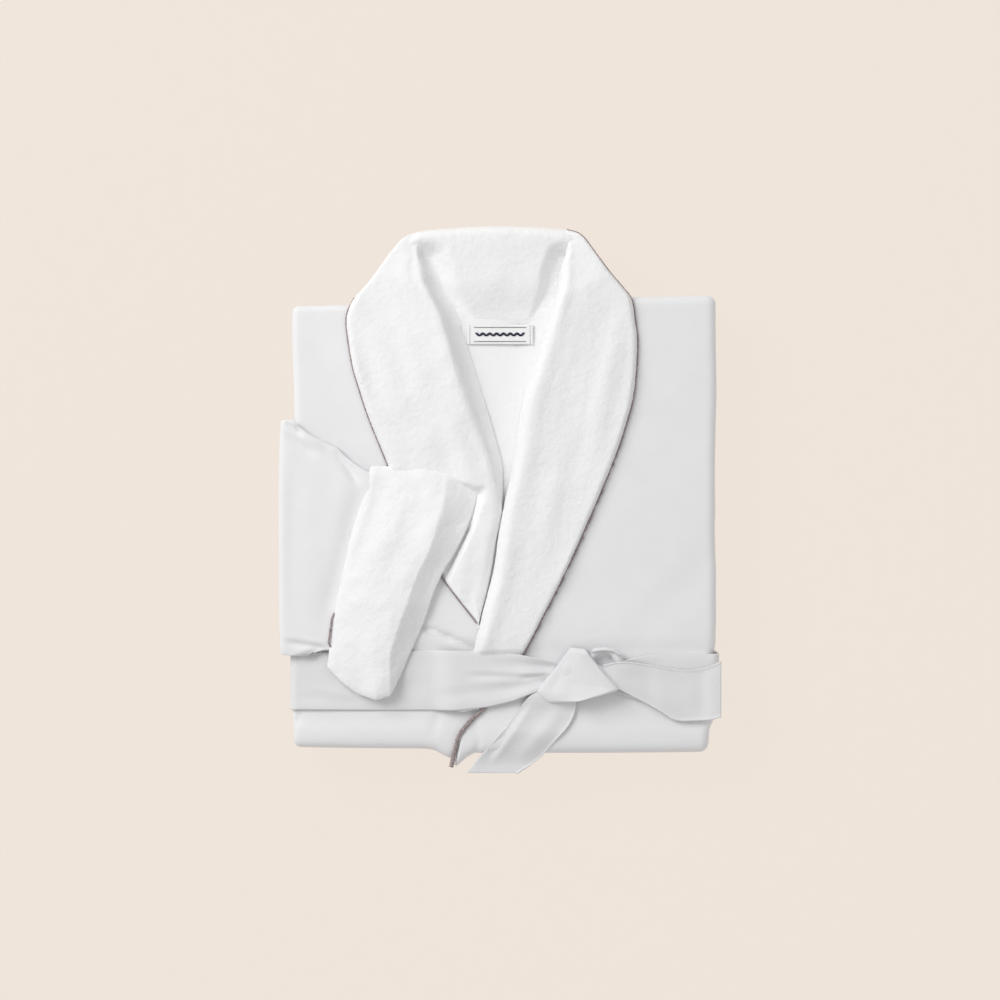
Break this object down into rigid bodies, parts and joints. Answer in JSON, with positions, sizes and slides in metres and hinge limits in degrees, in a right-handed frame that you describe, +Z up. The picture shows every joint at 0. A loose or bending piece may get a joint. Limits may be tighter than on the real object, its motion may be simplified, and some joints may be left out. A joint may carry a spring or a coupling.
{
  "type": "bathrobe",
  "caption": "Plush-lined shawl-collar bathrobe folded into a flat packet, with one sleeve laid across the front and its belt tied round it.",
  "frame": {"origin": "centre of the underside of the folded packet's overall box", "axes": "+Z up through the packet, face of the robe upwards; +Y towards the collar; +X towards the wearer's left"},
  "size_m": [0.3862, 0.4792, 0.0763],
  "materials": {
    "shell": "smooth brushed microfibre, faint satin sheen",
    "plush": "matt short plush pile",
    "piping": "matt twisted grey-brown piping",
    "belt": "smooth microfibre, faint satin sheen",
    "label": "woven satin label"
  },
  "bodies": {
    "root": {"left_front_shell": "shell", "left_front_lining": "plush", "right_front_shell": "shell", "right_front_lining": "plush", "back_lining": "plush", "back_shell": "shell", "left_side_return": "shell", "right_side_return": "shell", "under_collar_left": "shell", "collar_facing_left": "plush", "under_collar_right": "shell", "collar_facing_right": "plush", "under_collar_back": "shell", "collar_facing_back": "plush", "collar_piping_left": "piping", "collar_piping_right": "piping", "neck_label": "label", "hang_loop": "belt", "right_sleeve_upper_shell": "shell", "right_sleeve_upper_lining": "plush", "left_sleeve_shell": "shell", "left_sleeve_lining": "plush", "left_cuff": "plush", "belt_band": "belt", "belt_knot": "belt", "belt_loop_left": "belt", "belt_loop_right": "belt", "left_pocket": "shell", "right_pocket": "shell"},
    "right_sleeve": {"right_forearm_shell": "shell", "right_forearm_lining": "plush", "right_cuff": "plush", "right_cuff_piping": "piping"},
    "lower_tail": {"belt_tail_lower": "belt"},
    "side_tail": {"belt_tail_side": "belt"}
  },
  "joints": [
    {"name": "sleeve_lift", "type": "hinge", "parent": "root", "child": "right_sleeve", "pos_m": [-0.17842, 0, 0.064], "axis": [0, -1, 0], "range_deg": [0, 170]},
    {"name": "lower_tail_lift", "type": "hinge", "parent": "root", "child": "lower_tail", "pos_m": [0.018, -0.1835, 0.0602], "axis": [-1, 0, 0], "range_deg": [0, 90]},
    {"name": "side_tail_lift", "type": "hinge", "parent": "root", "child": "side_tail", "pos_m": [0.10717, -0.166, 0.0623], "axis": [0, -1, 0], "range_deg": [0, 90]}
  ]
}
